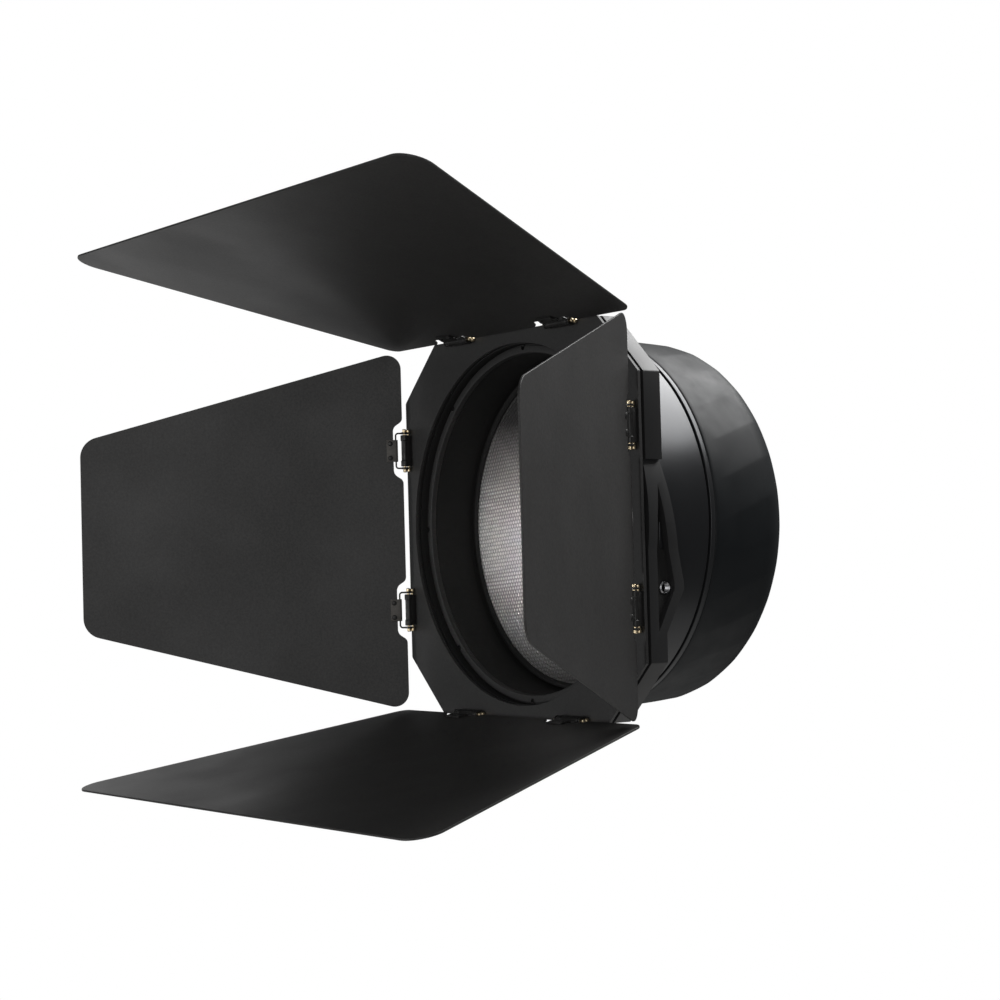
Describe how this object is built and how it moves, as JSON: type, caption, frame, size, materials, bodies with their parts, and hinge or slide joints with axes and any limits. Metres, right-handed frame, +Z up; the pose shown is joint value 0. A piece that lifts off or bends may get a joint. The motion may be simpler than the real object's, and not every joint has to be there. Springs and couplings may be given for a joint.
{
  "type": "barn door attachment",
  "caption": "Barn doors on a round stepped-lens barrel: octagonal frame, hinged trapezoid leaves, fluted focus ring and rear bayonet.",
  "frame": {"origin": "centre of the rear bayonet's seating face, on the optical axis", "axes": "+Y back towards the lamp along the optical axis, the beam leaves towards -Y, +Z up, +X to the right seen from behind the lamp"},
  "size_m": [0.4488, 0.3453, 0.3279],
  "materials": {
    "leaf_sheet": "matt black powder coat with a fine speckle",
    "frame_sheet": "matt black powder coat",
    "frame_block": "satin black paint",
    "barrel": "semi-gloss dark grey paint",
    "baffle": "dead black, non-reflecting",
    "black_metal": "black oxide",
    "trim": "turned edge, satin",
    "grip_rubber": "dark blue-grey rubber with shallow slanted flutes",
    "brass": "bright turned brass",
    "steel": "turned steel",
    "lens_glass": "stepped lens with a dimpled diffusing pattern"
  },
  "bodies": {
    "root": {"frame_plate": "frame_sheet", "spacer_ring": "black_metal", "accessory_frame": "frame_block", "lock_screw_insert": "steel", "front_ring": "frame_sheet", "baffle_tube": "baffle", "drum_shell": "barrel", "seam_ring": "trim", "guide_tube": "baffle", "rear_cover": "barrel", "bayonet_ring": "steel", "rear_screw_1": "steel", "rear_screw_2": "steel", "rear_screw_3": "steel", "rear_screw_4": "steel", "frame_bracket_right_1": "black_metal", "hinge_pin_right_1": "brass", "frame_bracket_right_2": "black_metal", "hinge_pin_right_2": "brass", "frame_bracket_top_1": "black_metal", "hinge_pin_top_1": "brass", "frame_bracket_top_2": "black_metal", "hinge_pin_top_2": "brass", "frame_bracket_left_1": "black_metal", "hinge_pin_left_1": "brass", "frame_bracket_left_2": "black_metal", "hinge_pin_left_2": "brass", "frame_bracket_bottom_1": "black_metal", "hinge_pin_bottom_1": "brass", "frame_bracket_bottom_2": "black_metal", "hinge_pin_bottom_2": "brass"},
    "leaf_right": {"leaf_right": "leaf_sheet", "leaf_clip_right_1": "black_metal", "leaf_clip_right_2": "black_metal"},
    "leaf_top": {"leaf_top": "leaf_sheet", "leaf_clip_top_1": "black_metal", "leaf_clip_top_2": "black_metal"},
    "leaf_left": {"leaf_left": "leaf_sheet", "leaf_clip_left_1": "black_metal", "leaf_clip_left_2": "black_metal"},
    "leaf_bottom": {"leaf_bottom": "leaf_sheet", "leaf_clip_bottom_1": "black_metal", "leaf_clip_bottom_2": "black_metal"},
    "focus_ring": {"focus_ring_core": "black_metal", "focus_ring_grip": "grip_rubber", "focus_ring_shoulder": "grip_rubber"},
    "lens_carriage": {"lens": "lens_glass", "lens_carrier": "baffle", "lens_retainer": "baffle", "cam_pin_1": "steel", "cam_pin_2": "steel", "cam_pin_3": "steel"}
  },
  "joints": [
    {"name": "leaf_right_hinge", "type": "hinge", "parent": "root", "child": "leaf_right", "pos_m": [0.113, -0.134, 0], "axis": [0, 0, 1], "range_deg": [-120.9, 64.1]},
    {"name": "leaf_top_hinge", "type": "hinge", "parent": "root", "child": "leaf_top", "pos_m": [0, -0.134, 0.115], "axis": [-1, 0, 0], "range_deg": [-25.5, 83.5]},
    {"name": "leaf_left_hinge", "type": "hinge", "parent": "root", "child": "leaf_left", "pos_m": [-0.113, -0.134, 0], "axis": [0, 0, -1], "range_deg": [-119.7, 70.3]},
    {"name": "leaf_bottom_hinge", "type": "hinge", "parent": "root", "child": "leaf_bottom", "pos_m": [0, -0.134, -0.115], "axis": [1, 0, 0], "range_deg": [-20.1, 88.9]},
    {"name": "focus_ring_turn", "type": "hinge", "parent": "root", "child": "focus_ring", "pos_m": [0, -0.04, 0], "axis": [0, 1, 0], "range_deg": [0, 90]},
    {"name": "lens_carriage_slide", "type": "slide", "parent": "root", "child": "lens_carriage", "axis": [0, 1, 0], "range_m": [0, 0.0301]}
  ],
  "couplings": [
    {"joint": "lens_carriage_slide", "follows": "focus_ring_turn", "m_per_rad": 0.019099}
  ]
}
